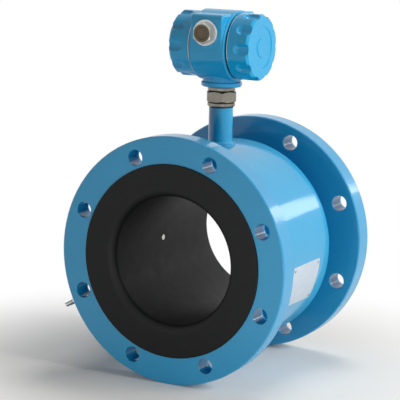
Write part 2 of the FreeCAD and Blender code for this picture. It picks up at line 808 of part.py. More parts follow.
def signal_board():
    """Amplifier board with its processor on the outer face."""
    face = signal_board_x - board_t
    depth, width, height = processor_size
    chip = block(head_point(face - depth, -width / 2, -height / 2), point(depth, width, height))
    return board(signal_board_x).fuse(chip).removeSplitter()


def board_screws():
    """Pan-head screws that hold the outermost board and the terminal board to their pillars."""
    screws = []
    for spot in ring_of_pillars(signal_board_x - board_t):
        screws.append(rod(board_screw_d / 2, spot, spot - X * board_screw_h))
    for spot in terminal_pillars(terminal_board_x + board_t):
        screws.append(rod(board_screw_d / 2, spot, spot + X * board_screw_h))
    return Part.makeCompound(screws)


def terminal_places():
    """Distance of each terminal from the middle of the strip."""
    return [(i - (terminal_count - 1) / 2) * terminal_pitch for i in range(terminal_count)]


def terminal_strip():
    """Moulded terminal strip with a wire entry under each clamping screw."""
    face = terminal_board_x + board_t
    width = terminal_count * terminal_pitch
    strip = block(head_point(face, -width / 2, terminal_z - terminal_height / 2),
                  point(terminal_depth, width, terminal_height))
    front = face + terminal_depth
    for y in terminal_places():
        low = head_point(face + terminal_depth / 2, y, terminal_z - terminal_height / 2)
        strip = strip.cut(rod(terminal_wire_d / 2, low, low + Z * (terminal_height / 2)))
        well = head_point(front - terminal_screw_h - seat_gap, y, terminal_z)
        strip = strip.cut(rod(terminal_screw_d / 2 + seat_gap, well, well + X * terminal_depth))
    return strip


def terminal_screws():
    front = terminal_board_x + board_t + terminal_depth
    screws = []
    for y in terminal_places():
        foot = head_point(front - terminal_screw_h - seat_gap, y, terminal_z)
        screws.append(rod(terminal_screw_d / 2, foot, foot + X * terminal_screw_h))
    return Part.makeCompound(screws)


def bulkhead_grommet():
    """Rubber grommet that seals the wires' way through the bulkhead."""
    lip_r, waist_r, hole_r = grommet_lip_d / 2, grommet_d / 2 - seat_gap, grommet_bore_d / 2
    t = bulkhead_t
    return turned(head_point(bulkhead_x, 0, grommet_z), X, [
        (hole_r, -grommet_lip_t), (lip_r, -grommet_lip_t), (lip_r, 0), (waist_r, 0), (waist_r, t), (lip_r, t),
        (lip_r, t + grommet_lip_t), (hole_r, t + grommet_lip_t),
    ])


def inner_earth_screw():
    seat = head_point(bulkhead_right_x, inner_earth_y, inner_earth_z)
    return rod(inner_earth_d / 2, seat, seat + X * inner_earth_h)


def build():
    """Every piece of the meter by node name."""
    stud, washers, nut = earth_fastening()
    pieces = {
        "inlet_flange": inlet_flange(),
        "outlet_flange": flange(flange_spacing, Y * -1),
        "flange_welds": flange_welds(),
        "measuring_tube": measuring_tube(),
        "rubber_liner": rubber_liner(),
        "earth_stud": stud,
        "earth_washers": washers,
        "earth_nut": nut,
        "coil_casing": coil_casing(),
        "casing_inlet_end": casing_end(casing_start),
        "casing_outlet_end": casing_end(casing_start + casing_len - casing_end_t),
        "upper_coil": saddle_coil(0),
        "lower_coil": saddle_coil(180),
        "upper_pole_core": pole_core(0),
        "lower_pole_core": pole_core(180),
        "return_yoke": return_yoke(),
        "core_screws": core_screws(),
        "right_electrode": electrode(X),
        "left_electrode": electrode(X * -1),
        "electrode_bosses": on_electrode_axes(electrode_boss),
        "electrode_bushes": on_electrode_axes(electrode_bush),
        "electrode_springs": on_electrode_axes(disc_springs),
        "electrode_nuts": on_electrode_axes(electrode_nut),
        "nameplate": nameplate(),
        "plate_rivets": plate_rivets(),
        "stem_pipe": stem_pipe(),
        "stem_gasket": stem_gasket(),
        "union_tail": union_tail(),
        "union_gasket": union_gasket(),
        "union_nut": union_nut(),
        "swivel_sleeve": swivel_sleeve(),
        "lock_ring": lock_ring(),
        "head_housing": head_housing(),
        "bulkhead_grommet": bulkhead_grommet(),
        "terminal_board": terminal_board(),
        "terminal_strip": terminal_strip(),
        "terminal_screws": terminal_screws(),
        "power_board": power_board(),
        "signal_board": signal_board(),
        "board_pillars": board_pillars(),
        "board_screws": board_screws(),
        "inner_earth_screw": inner_earth_screw(),
    }
    for name, direction in (("right", 1), ("left", -1)):
        pieces[name + "_cover"] = cover(direction)
        pieces[name + "_cover_seal"] = cover_seal(direction)
    for name, direction in (("inlet_side", -1), ("outlet_side", 1)):
        pieces[name + "_plug"] = conduit_plug(direction)
        pieces[name + "_plug_ring"] = plug_ring(direction)
    return pieces


os.makedirs("parts", exist_ok=True)
for name, shape in build().items():
    shape.exportStep("parts/" + name + ".step")
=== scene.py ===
import math
import bpy
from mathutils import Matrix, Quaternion, Vector


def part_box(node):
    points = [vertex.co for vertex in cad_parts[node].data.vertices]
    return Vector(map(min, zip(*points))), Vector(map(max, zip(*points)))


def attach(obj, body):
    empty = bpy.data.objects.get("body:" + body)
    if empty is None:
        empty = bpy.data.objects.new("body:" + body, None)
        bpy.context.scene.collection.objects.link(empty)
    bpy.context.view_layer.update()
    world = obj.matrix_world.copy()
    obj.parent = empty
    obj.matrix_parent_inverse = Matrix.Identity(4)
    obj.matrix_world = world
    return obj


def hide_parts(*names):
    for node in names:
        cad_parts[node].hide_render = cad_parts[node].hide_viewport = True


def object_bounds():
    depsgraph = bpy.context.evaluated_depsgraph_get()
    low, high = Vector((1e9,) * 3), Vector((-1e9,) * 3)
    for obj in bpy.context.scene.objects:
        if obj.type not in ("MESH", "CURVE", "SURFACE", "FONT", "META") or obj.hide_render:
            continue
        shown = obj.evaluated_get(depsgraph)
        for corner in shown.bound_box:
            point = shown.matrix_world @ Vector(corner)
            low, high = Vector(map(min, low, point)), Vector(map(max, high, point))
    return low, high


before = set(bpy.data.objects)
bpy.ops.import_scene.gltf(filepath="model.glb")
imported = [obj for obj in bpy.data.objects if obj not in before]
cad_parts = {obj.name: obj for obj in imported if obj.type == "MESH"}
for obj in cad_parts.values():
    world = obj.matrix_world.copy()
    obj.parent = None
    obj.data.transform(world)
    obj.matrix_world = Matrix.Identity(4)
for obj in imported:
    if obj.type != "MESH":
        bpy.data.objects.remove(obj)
cad_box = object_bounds()


# Flanges
# Two forged steel rings, turned, drilled for eight bolts each and sprayed with light blue gloss
# enamel together with the rest of the body. Each sits on the tube's end and is welded behind.

def to_linear(hex_colour):
    """Scene-linear colour of an sRGB hex code."""
    channels = [int(hex_colour[i:i + 2], 16) / 255 for i in (1, 3, 5)]
    return [c / 12.92 if c <= 0.04045 else ((c + 0.055) / 1.055) ** 2.4 for c in channels] + [1.0]


def add_node(tree, kind, settings=None, links=None):
    """Add a node. Settings are its properties or constants for its inputs, links its inputs' sources.

    An input is named or numbered. A source is an output, or a node for its first output in use.
    """
    node = tree.nodes.new(kind)

    def entry(name):
        if isinstance(name, int):
            return node.inputs[name]
        return next(socket for socket in node.inputs if socket.enabled and socket.name == name)

    for name, value in (settings or {}).items():
        if isinstance(name, str) and hasattr(node, name):
            setattr(node, name, value)
        else:
            entry(name).default_value = value
    for name, source in (links or {}).items():
        if isinstance(source, bpy.types.Node):
            source = next(socket for socket in source.outputs if socket.enabled)
        tree.links.new(source, entry(name))
    return node


def new_finish(name):
    """Empty material, with its tree and the object coordinates that its patterns use."""
    material = bpy.data.materials.new(name)
    material.use_nodes = True
    material.node_tree.nodes.clear()
    return material, material.node_tree, add_node(material.node_tree, "ShaderNodeTexCoord").outputs["Object"]


def close_finish(tree, settings, links):
    """End a material's tree in a Principled shader."""
    shader = add_node(tree, "ShaderNodeBsdfPrincipled", settings, links)
    add_node(tree, "ShaderNodeOutputMaterial", {}, {"Surface": shader})


def gloss_enamel(name, shade, tint, peel_size, peel_depth, sheen_level):
    """Sprayed gloss enamel: soft drifts of tone under a clear skin with orange peel.

    The skin mirrors lamps sharply while the pigment under it gives a wide soft sheen, and paint
    draws round over every edge, which then catches a thin line of light.
    """
    drift_size, patch_size, edge_radius = 0.09, 0.02, 0.0008
    material, tree, place = new_finish(name)
    drift = add_node(tree, "ShaderNodeTexNoise", {"Scale": 1 / drift_size}, {"Vector": place})
    colour = add_node(tree, "ShaderNodeMix", {
        "data_type": "RGBA", "A": to_linear(shade), "B": to_linear(tint)}, {"Factor": drift})
    patch = add_node(tree, "ShaderNodeTexNoise", {"Scale": 1 / patch_size}, {"Vector": place})
    rough = add_node(tree, "ShaderNodeMapRange", {"To Min": 0.30, "To Max": 0.42}, {"Value": patch})
    edge = add_node(tree, "ShaderNodeBevel", {"samples": 4, "Radius": edge_radius})
    peel = add_node(tree, "ShaderNodeTexNoise", {"Scale": 1 / peel_size, "Detail": 1.0}, {"Vector": place})
    skin = add_node(tree, "ShaderNodeBump", {"Distance": peel_depth}, {"Height": peel, "Normal": edge})
    close_finish(tree, {"Specular IOR Level": sheen_level, "Coat Weight": 0.6, "Coat Roughness": 0.08,
                        "Coat IOR": 1.5},
                 {"Base Color": colour, "Roughness": rough, "Normal": skin, "Coat Normal": skin})
    return material


def dress(material, *names):
    """Give solids of the frame a material."""
    for name in names:
        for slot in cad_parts[name].material_slots:
            slot.material = material


# Light blue gloss enamel on turned steel: the peel is a few millimetres across and barely raised.
flange_enamel = gloss_enamel("light_blue_flange_enamel", "#1990c1", "#249acb", 0.003, 0.00003, 0.35)
dress(flange_enamel, "inlet_flange", "outlet_flange", "flange_welds")


# Measuring tube and its welds
# Stainless tube, painted where it is bare between the flanges and the casing. A rippled bead of
# fillet weld runs round it behind each flange and at both ends of the casing.

# The same enamel as the flanges', sprayed in one pass.
dress(gloss_enamel("light_blue_tube_enamel", "#1990c1", "#249acb", 0.003, 0.00003, 0.35), "measuring_tube")


def new_maker(name, sockets):
    """Geometry Nodes tree with named inputs: the tree, its inputs' sources and its output."""
    maker = bpy.data.node_groups.new(name, "GeometryNodeTree")
    maker.interface.new_socket("Geometry", in_out="OUTPUT", socket_type="NodeSocketGeometry")
    for label, kind in sockets.items():
        maker.interface.new_socket(label, in_out="INPUT", socket_type="NodeSocket" + kind)
    return maker, maker.nodes.new("NodeGroupInput").outputs, maker.nodes.new("NodeGroupOutput").inputs


def close_maker(maker, shape, given, made):
    """Put a shape in its place, make it real and give it its finish."""
    moved = add_node(maker, "GeometryNodeTransform", {},
                     {"Geometry": shape, "Rotation": given["Turn"], "Translation": given["Move"]})
    real = add_node(maker, "GeometryNodeRealizeInstances", {}, {"Geometry": moved})
    finished = add_node(maker, "GeometryNodeSetMaterial", {}, {"Geometry": real, "Material": given["Finish"]})
    maker.links.new(finished.outputs["Geometry"], made["Geometry"])


def make_piece(name, maker, sizes, body):
    """Plain mesh that a tree makes from these sizes, riding on a body."""
    piece = bpy.data.objects.new(name, bpy.data.meshes.new(name))
    bpy.context.scene.collection.objects.link(piece)
    growth = piece.modifiers.new(maker.name, "NODES")
    growth.node_group = maker
    for socket in maker.interface.items_tree:
        if socket.in_out == "INPUT":
            growth[socket.identifier] = sizes[socket.name]
    mesh = bpy.data.meshes.new_from_object(piece.evaluated_get(bpy.context.evaluated_depsgraph_get()))
    piece.modifiers.remove(growth)
    piece.data = mesh
    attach(piece, body)
    return piece


# One flattened drop for each step of the torch, laid round a ring. A drum radius bends the ring
# over a round casing.
weld_maker, given, made = new_maker("rippled_weld", {
    "Ring radius": "Float", "Drum radius": "Float", "Step": "Float", "Drop radius": "Float", "Seed": "Int",
    "Turn": "Rotation", "Move": "Vector", "Finish": "Material"})
there = add_node(weld_maker, "ShaderNodeSeparateXYZ", {},
                 {"Vector": add_node(weld_maker, "GeometryNodeInputPosition")}).outputs
drum_square = add_node(weld_maker, "ShaderNodeMath", {"operation": "MULTIPLY"},
                       {0: given["Drum radius"], 1: given["Drum radius"]})
side_square = add_node(weld_maker, "ShaderNodeMath", {"operation": "MULTIPLY"},
                       {0: there["X"], 1: there["X"]})
fall = add_node(weld_maker, "ShaderNodeMath", {"operation": "SUBTRACT"}, {0: drum_square, 1: side_square})
fall = add_node(weld_maker, "ShaderNodeMath", {"operation": "MAXIMUM", 1: 0.0}, {0: fall})
saddle = add_node(weld_maker, "ShaderNodeMath", {"operation": "SQRT"}, {0: fall})
seat = add_node(weld_maker, "ShaderNodeCombineXYZ", {}, {"X": there["X"], "Y": there["Y"], "Z": saddle})
ring = add_node(weld_maker, "GeometryNodeCurvePrimitiveCircle", {"Resolution": 256},
                {"Radius": given["Ring radius"]})
run = add_node(weld_maker, "GeometryNodeSetPosition", {}, {"Geometry": ring, "Position": seat})
steps = add_node(weld_maker, "GeometryNodeResampleCurve", {"mode": "LENGTH"},
                 {"Curve": run, "Length": given["Step"]})
heading = add_node(weld_maker, "FunctionNodeAlignRotationToVector", {"axis": "X"},
                   {"Vector": add_node(weld_maker, "GeometryNodeInputTangent")})
drop = add_node(weld_maker, "GeometryNodeMeshUVSphere", {"Segments": 8, "Rings": 5},
                {"Radius": given["Drop radius"]})
swell = add_node(weld_maker, "FunctionNodeRandomValue", {
    "data_type": "FLOAT_VECTOR", "Min": (0.46, 0.94, 0.94), "Max": (0.56, 1.04, 1.04)},
    {"Seed": given["Seed"]})
laid = add_node(weld_maker, "GeometryNodeInstanceOnPoints", {},
                {"Points": steps, "Instance": drop, "Rotation": heading, "Scale": swell})
smooth = add_node(weld_maker, "GeometryNodeSetShadeSmooth", {}, {"Geometry": laid})
close_maker(weld_maker, smooth, given, made)

tube_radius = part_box("measuring_tube")[1].x
weld_low, weld_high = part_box("flange_welds")
casing_low, casing_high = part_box("coil_casing")
flange_leg = weld_high.x - tube_radius
casing_leg = 0.0035   # of the casing's welds
drop_sink = 0.23   # from the weld's corner to a drop's middle, in legs of the weld
torch_step = 0.4   # from drop to drop, in legs
weld_rings = (
    ("inlet_flange_weld_ripples", weld_low.y, 1, flange_leg),
    ("outlet_flange_weld_ripples", weld_high.y, -1, flange_leg),
    ("casing_inlet_weld_ripples", casing_low.y, -1, casing_leg),
    ("casing_outlet_weld_ripples", casing_high.y, 1, casing_leg),
)
for seed, (name, corner, side, leg) in enumerate(weld_rings):
    make_piece(name, weld_maker, {
        "Ring radius": tube_radius + drop_sink * leg, "Drum radius": 0.0, "Step": torch_step * leg,
        "Drop radius": leg / 2, "Seed": seed, "Turn": (math.pi / 2, 0.0, 0.0),
        "Move": (0.0, corner + side * drop_sink * leg, 0.0), "Finish": flange_enamel,
    }, "meter_body")


# Rubber liner
# Black natural rubber, moulded through the tube and turned out over both flange faces, where it
# is its own gasket.

def black_rubber(name, shade, tint, roughness, grain):
    """Moulded rubber: matt and nearly black, with a fine grain and a faint grey bloom in clouds."""
    bloom_size, patch_size = 0.03, 0.012
    material, tree, place = new_finish(name)
    bloom = add_node(tree, "ShaderNodeTexNoise", {"Scale": 1 / bloom_size, "Detail": 4.0}, {"Vector": place})
    colour = add_node(tree, "ShaderNodeMix", {
        "data_type": "RGBA", "A": to_linear(shade), "B": to_linear(tint)}, {"Factor": bloom})
    patch = add_node(tree, "ShaderNodeTexNoise", {"Scale": 1 / patch_size}, {"Vector": place})
    rough = add_node(tree, "ShaderNodeMapRange", {"To Min": roughness, "To Max": roughness + 0.12},
                     {"Value": patch})
    pores = add_node(tree, "ShaderNodeTexNoise", {"Scale": 1 / grain, "Detail": 3.0}, {"Vector": place})
    skin = add_node(tree, "ShaderNodeBump", {"Distance": grain / 20}, {"Height": pores})
    close_finish(tree, {"Specular IOR Level": 0.2},
                 {"Base Color": colour, "Roughness": rough, "Normal": skin})
    return material


# The mould's own grain is finer: it is drawn a millimetre across so that it shows.
dress(black_rubber("moulded_liner_rubber", "#070908", "#111312", 0.46, 0.0012), "rubber_liner")


# Earthing point
# An M8 stainless stud screwed into the inlet flange's rim, with two washers, a spring washer
# and a nut.

def bare_metal(name, shade, tint, roughness, grain, stretch, metallic=1.0):
    """Bare metal: its tool marks blur what it mirrors, along the way in which they are drawn out."""
    tarnish_size = 0.01
    material, tree, place = new_finish(name)
    drawn = add_node(tree, "ShaderNodeMapping", {"Scale": stretch}, {"Vector": place})
    marks = add_node(tree, "ShaderNodeTexNoise", {"Scale": 1 / grain, "Detail": 3.0}, {"Vector": drawn})
    tarnish = add_node(tree, "ShaderNodeTexNoise", {"Scale": 1 / tarnish_size}, {"Vector": place})
    colour = add_node(tree, "ShaderNodeMix", {
        "data_type": "RGBA", "A": to_linear(shade), "B": to_linear(tint)}, {"Factor": tarnish})
    rough = add_node(tree, "ShaderNodeMapRange", {"To Min": roughness, "To Max": roughness + 0.15},
                     {"Value": marks})
    skin = add_node(tree, "ShaderNodeBump", {"Distance": grain / 30}, {"Height": marks})
    close_finish(tree, {"Metallic": metallic}, {"Base Color": colour, "Roughness": rough, "Normal": skin})
    return material


# Drawn stainless steel, bright with a grain too fine to see apart.
stainless = bare_metal("drawn_stainless_steel", "#b8b9b7", "#cfd0cd", 0.22, 0.0006, (1, 1, 1))
dress(stainless, "earth_washers", "earth_nut")

# A sheet of unit sides is rolled round the stud's axis. Its radius follows the thread's flanks and
# the chamfers, and closes to nothing on the two rows past the ends.
stud_maker, given, made = new_maker("threaded_stud", {
    "Length": "Float", "Radius": "Float", "Pitch": "Float", "Depth": "Float", "Chamfer": "Float",
    "Turn": "Rotation", "Move": "Vector", "Finish": "Material"})
sides, rows = 24, 300
there = add_node(stud_maker, "ShaderNodeSeparateXYZ", {},
                 {"Vector": add_node(stud_maker, "GeometryNodeInputPosition")}).outputs
half = add_node(stud_maker, "ShaderNodeMath", {"operation": "MULTIPLY", 1: 0.5}, {0: given["Length"]})
stretched = add_node(stud_maker, "ShaderNodeMath", {"operation": "MULTIPLY", 1: (rows + 1) / (rows - 1)},
                     {0: there["Y"]})
reach = add_node(stud_maker, "ShaderNodeMath", {"operation": "MULTIPLY"}, {0: stretched, 1: given["Length"]})
height = add_node(stud_maker, "ShaderNodeMath", {"operation": "MINIMUM"}, {0: reach, 1: half})
bottom = add_node(stud_maker, "ShaderNodeMath", {"operation": "MULTIPLY", 1: -1.0}, {0: half})
height = add_node(stud_maker, "ShaderNodeMath", {"operation": "MAXIMUM"}, {0: height, 1: bottom})
climb = add_node(stud_maker, "ShaderNodeMath", {"operation": "DIVIDE"}, {0: height, 1: given["Pitch"]})
turns = add_node(stud_maker, "ShaderNodeMath", {"operation": "SUBTRACT"}, {0: climb, 1: there["X"]})
flank = add_node(stud_maker, "ShaderNodeMath", {"operation": "PINGPONG", 1: 0.5}, {0: turns})
cut = add_node(stud_maker, "ShaderNodeMath", {"operation": "MULTIPLY"}, {0: flank, 1: given["Depth"]})
cut = add_node(stud_maker, "ShaderNodeMath", {"operation": "MULTIPLY", 1: 2.0}, {0: cut})
threaded = add_node(stud_maker, "ShaderNodeMath", {"operation": "SUBTRACT"}, {0: given["Radius"], 1: cut})
distance = add_node(stud_maker, "ShaderNodeMath", {"operation": "ABSOLUTE"}, {0: height})
to_end = add_node(stud_maker, "ShaderNodeMath", {"operation": "SUBTRACT"}, {0: half, 1: distance})
nose = add_node(stud_maker, "ShaderNodeMath", {"operation": "SUBTRACT"},
                {0: given["Radius"], 1: given["Chamfer"]})
cone = add_node(stud_maker, "ShaderNodeMath", {"operation": "ADD"}, {0: nose, 1: to_end})
radius = add_node(stud_maker, "ShaderNodeMath", {"operation": "MINIMUM"}, {0: threaded, 1: cone})
span = add_node(stud_maker, "ShaderNodeMath", {"operation": "ABSOLUTE"}, {0: there["Y"]})
on_skin = add_node(stud_maker, "ShaderNodeMath", {"operation": "LESS_THAN", 1: 0.5 - 0.5 / rows}, {0: span})
radius = add_node(stud_maker, "ShaderNodeMath", {"operation": "MULTIPLY"}, {0: radius, 1: on_skin})
angle = add_node(stud_maker, "ShaderNodeMath", {"operation": "MULTIPLY", 1: 2 * math.pi}, {0: there["X"]})
east = add_node(stud_maker, "ShaderNodeMath", {"operation": "COSINE"}, {0: angle})
north = add_node(stud_maker, "ShaderNodeMath", {"operation": "SINE"}, {0: angle})
east = add_node(stud_maker, "ShaderNodeMath", {"operation": "MULTIPLY"}, {0: east, 1: radius})
north = add_node(stud_maker, "ShaderNodeMath", {"operation": "MULTIPLY"}, {0: north, 1: radius})
sheet = add_node(stud_maker, "GeometryNodeMeshGrid",
                 {"Size X": 1.0, "Size Y": 1.0, "Vertices X": sides + 1, "Vertices Y": rows + 2})
place = add_node(stud_maker, "ShaderNodeCombineXYZ", {}, {"X": east, "Y": north, "Z": height})
rolled = add_node(stud_maker, "GeometryNodeSetPosition", {}, {"Geometry": sheet, "Position": place})
closed = add_node(stud_maker, "GeometryNodeMergeByDistance", {"Distance": 0.00001}, {"Geometry": rolled})
close_maker(stud_maker, closed, given, made)

stud_low, stud_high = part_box("earth_stud")
stud_middle = (stud_low + stud_high) / 2
stud_way = Vector((stud_middle.x, 0, stud_middle.z)).normalized()
stud_radius = (stud_high.y - stud_low.y) / 2
stud_length = ((stud_high - stud_low).x - 2 * stud_radius * abs(stud_way.z)) / abs(stud_way.x)
stud = make_piece("threaded_earth_stud", stud_maker, {
    "Length": stud_length, "Radius": stud_radius, "Pitch": 0.00125, "Depth": 0.00068, "Chamfer": 0.001,
    "Turn": stud_way.to_track_quat("Z", "Y").to_euler(), "Move": stud_middle, "Finish": stainless,
}, "meter_body")
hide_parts("earth_stud")


# Coil casing
# A shell rolled from 4 mm sheet round the magnet, closed by a flat ring at each end and welded
# to the tube, then sprayed with the flanges.

# Gloss enamel on rolled sheet, which lies a little wavier than on turned steel.
# Its colour is mixed a little lighter and greener than the flanges', though it is one paint with them:
# painted light for the stronger side light on the casing.
casing_enamel = gloss_enamel("light_blue_casing_enamel", "#1798c8", "#21a1d0", 0.004, 0.00004, 0.25)
dress(casing_enamel, "coil_casing", "casing_inlet_end", "casing_outlet_end")


# Magnet
# Two saddle coils of enamelled copper wire over soft iron cores, which are screwed to a steel
# yoke that closes the magnetic circuit.

def wound_copper(name, wire):
    """Enamelled wire laid side by side round the pipe: reddish glossy turns, with painted shade darkening the
    gaps between them.
    """
    material, tree, place = new_finish(name)
    turns = add_node(tree, "ShaderNodeTexWave", {"bands_direction": "Y", "Scale": math.pi / (10 * wire)},
                     {"Vector": place}).outputs["Fac"]
    # The darker colour in the gaps between turns is painted shade.
    colour = add_node(tree, "ShaderNodeMix", {
        "data_type": "RGBA", "A": to_linear("#5a2410"), "B": to_linear("#b9672f")}, {"Factor": turns})
    skin = add_node(tree, "ShaderNodeBump", {"Distance": 0.3 * wire}, {"Height": turns})
    close_finish(tree, {"Metallic": 0.85, "Roughness": 0.35}, {"Base Color": colour, "Normal": skin})
    return material


dress(wound_copper("enamelled_copper_winding", 0.001), "upper_coil", "lower_coil")
# Annealed iron, grey and dull, and zinc plate on the screws, paler with a soft gloss.
dress(bare_metal("annealed_core_iron", "#4a4a4b", "#5c5b59", 0.45, 0.001, (1, 0.1, 1)),
      "upper_pole_core", "lower_pole_core", "return_yoke")
dress(bare_metal("zinc_plated_steel", "#a9acae", "#bfc2c2", 0.3, 0.0008, (1, 1, 1)),
      "core_screws", "terminal_screws", "board_screws")


# Electrodes
# Stainless electrodes with flat heads flush in the liner, held through the tube's wall by a
# boss, an insulating bush, two disc springs and a nut.

def white_ptfe(name):
    """Turned PTFE: waxy white, with light in it and faint lathe rings on it."""
    cloud_size, ring_size = 0.004, 0.0004
    material, tree, place = new_finish(name)
    cloud = add_node(tree, "ShaderNodeTexNoise", {"Scale": 1 / cloud_size}, {"Vector": place})
    colour = add_node(tree, "ShaderNodeMix", {
        "data_type": "RGBA", "A": to_linear("#e4e2da"), "B": to_linear("#f0eee8")}, {"Factor": cloud})
    rings = add_node(tree, "ShaderNodeTexNoise", {"Scale": 1 / ring_size}, {"Vector": place})
    skin = add_node(tree, "ShaderNodeBump", {"Distance": ring_size / 20}, {"Height": rings})
    close_finish(tree, {"Subsurface Weight": 0.1, "Roughness": 0.4}, {"Base Color": colour, "Normal": skin})
    return material


dress(stainless, "right_electrode", "left_electrode", "electrode_bosses", "electrode_springs",
      "electrode_nuts")
dress(white_ptfe("turned_ptfe"), "electrode_bushes")


# Nameplate
# A blank plate of brushed aluminium, curved to the casing and held by a rivet in each corner.

# Brushed and clear anodised, pale and satin, with the brush lines along the pipe drawn coarser
# than they are so that they show. The rivets are plain drawn wire.
dress(bare_metal("brushed_plate_aluminium", "#bccad6", "#cfdae3", 0.34, 0.0005, (1, 0.04, 1), 0.5),
      "nameplate")
dress(bare_metal("drawn_rivet_aluminium", "#9aa3ab", "#b0b8be", 0.28, 0.0005, (1, 1, 1)), "plate_rivets")


# Stem
# A short 1 inch steel pipe welded upright into the casing, with a rippled bead round its foot,
# painted with the casing. A rubber ring seals its top under the union.

dress(casing_enamel, "stem_pipe")
stem_low, stem_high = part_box("stem_pipe")
stem_radius = 0.01685
stem_leg = 0.005   # of the stem's weld
make_piece("stem_weld_ripples", weld_maker, {
    "Ring radius": stem_radius + drop_sink * stem_leg, "Drum radius": casing_high.x + drop_sink * stem_leg,
    "Step": torch_step * stem_leg, "Drop radius": stem_leg / 2, "Seed": len(weld_rings),
    "Turn": (0.0, 0.0, 0.0), "Move": (0.0, (stem_low.y + stem_high.y) / 2, 0.0), "Finish": casing_enamel,
}, "meter_body")

# Pressed rubber, a little greyer than the liner.
seal_rubber = black_rubber("pressed_seal_rubber", "#121314", "#1e1f20", 0.5, 0.0006)
dress(seal_rubber, "stem_gasket", "union_gasket", "bulkhead_grommet", "right_cover_seal", "left_cover_seal")


# Union
# The tail in the stem, a hexagon nut, the sleeve that the head turns with and a round lock nut
# under the head, all of brass.

# Nickel plate over turned brass, dulled by age: a warm grey mirror, blurred by the turning
# marks round it.
dress(bare_metal("nickel_plated_brass", "#6e6a61", "#918c82", 0.18, 0.0006, (1, 1, 0.15)),
      "union_tail", "union_nut", "swivel_sleeve", "lock_ring")


# Head housing
# Pressure-cast aluminium with two chambers, squared cheeks for the conduit entries and a collar
# for the union.

# Stove enamel straight over the casting, so its skin is finer and more pebbled than the body's.
dress(gloss_enamel("blue_stove_enamel", "#149cd0", "#1ea6da", 0.0022, 0.00005, 0.2), "head_housing")


# Covers
# Cast aluminium caps with ten finger flutes round the rim, in the housing's enamel. Each screws
# into the housing by a bare turned spigot.

def shader_of(material):
    """A finish's tree and its Principled shader."""
    tree = material.node_tree
    return tree, next(node for node in tree.nodes if node.type == "BSDF_PRINCIPLED")


def lay_bare(material, where, colour):
    """Show bare metal of one colour through a finish where the factor is 1."""
    tree, shader = shader_of(material)
    blend = add_node(tree, "ShaderNodeMix", {"data_type": "RGBA", "B": to_linear(colour)},
                     {"Factor": where, "A": shader.inputs["Base Color"].links[0].from_socket})
    metal = add_node(tree, "ShaderNodeMath", {
        "operation": "MAXIMUM", 1: shader.inputs["Metallic"].default_value}, {0: where})
    tree.links.new(blend.outputs[2], shader.inputs["Base Color"])
    tree.links.new(metal.outputs["Value"], shader.inputs["Metallic"])


def cut_thread(material, axis, pitch, where):
    """Thread flanks round an axis of the frame where the factor is 1."""
    tree, shader = shader_of(material)
    flanks = add_node(tree, "ShaderNodeTexWave", {"bands_direction": axis, "wave_profile": "TRI",
                      "Scale": math.pi / (10 * pitch)},
                      {"Vector": add_node(tree, "ShaderNodeTexCoord").outputs["Object"]})
    height = add_node(tree, "ShaderNodeMath", {"operation": "MULTIPLY"}, {0: flanks.outputs["Fac"], 1: where})
    skin = add_node(tree, "ShaderNodeBump", {"Distance": 0.4 * pitch},
                    {"Height": height, "Normal": shader.inputs["Normal"].links[0].from_socket})
    tree.links.new(skin.outputs["Normal"], shader.inputs["Normal"])


# The housing's enamel, mixed a little brighter for the caps as painted light for the side light on their
# ends.
# Past the joint it gives way to the bare turned spigot with its thread.
# The caps' brighter colour is painted light.
cover_enamel = gloss_enamel("bright_blue_stove_enamel", "#089dd0", "#12a9dd", 0.0022, 0.00005, 0.15)
right_low, right_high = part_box("right_cover")
head_middle = (right_high.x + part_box("left_cover")[0].x) / 2
spigot_len = 0.0115
joint_gap = 0.0006   # enamel that reaches in past the joint
cover_pitch = 0.0015
tree = cover_enamel.node_tree
there = add_node(tree, "ShaderNodeSeparateXYZ", {},
                 {"Vector": add_node(tree, "ShaderNodeTexCoord").outputs["Object"]})
across = add_node(tree, "ShaderNodeMath", {"operation": "SUBTRACT", 1: head_middle}, {0: there.outputs["X"]})
across = add_node(tree, "ShaderNodeMath", {"operation": "ABSOLUTE"}, {0: across})
on_spigot = add_node(tree, "ShaderNodeMath", {
    "operation": "LESS_THAN", 1: right_low.x + spigot_len - joint_gap - head_middle}, {0: across})
lay_bare(cover_enamel, on_spigot, "#b9bcbe")
cut_thread(cover_enamel, "X", cover_pitch, on_spigot)
dress(cover_enamel, "right_cover", "left_cover")


# Conduit plugs
# Hexagon plugs that close both conduit entries on broad tinned rings. Each screws out along the
# pipe's direction.

# Bronze, dark brown in the dimpled face, with a bright bare-metal ring round the hexagon's rim that is
# painted reflection of the white surroundings.
shank_radius = 0.0101
hexagon_start, hexagon_rim = 0.0115, 0.0128   # where the painted reflection begins and is full
plug_pitch = 0.0015
plug_bronze = bare_metal("dark_bronze_with_painted_reflection", "#4f463b", "#655b4d", 0.34, 0.0006, (1, 1, 1))
plug_low, plug_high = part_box("inlet_side_plug")
plug_middle = (plug_low + plug_high) / 2
tree = plug_bronze.node_tree
there = add_node(tree, "ShaderNodeSeparateXYZ", {},
                 {"Vector": add_node(tree, "ShaderNodeTexCoord").outputs["Object"]})
flat = add_node(tree, "ShaderNodeCombineXYZ", {}, {"X": there.outputs["X"], "Z": there.outputs["Z"]})
off_axis = add_node(tree, "ShaderNodeVectorMath", {
    "operation": "DISTANCE", 1: (plug_middle.x, 0.0, plug_middle.z)}, {0: flat})
painted_reflection_ring = add_node(tree, "ShaderNodeMapRange", {
    "interpolation_type": "SMOOTHSTEP", "From Min": hexagon_start, "From Max": hexagon_rim},
    {"Value": off_axis})
on_shank = add_node(tree, "ShaderNodeMath", {"operation": "LESS_THAN", 1: shank_radius}, {0: off_axis})
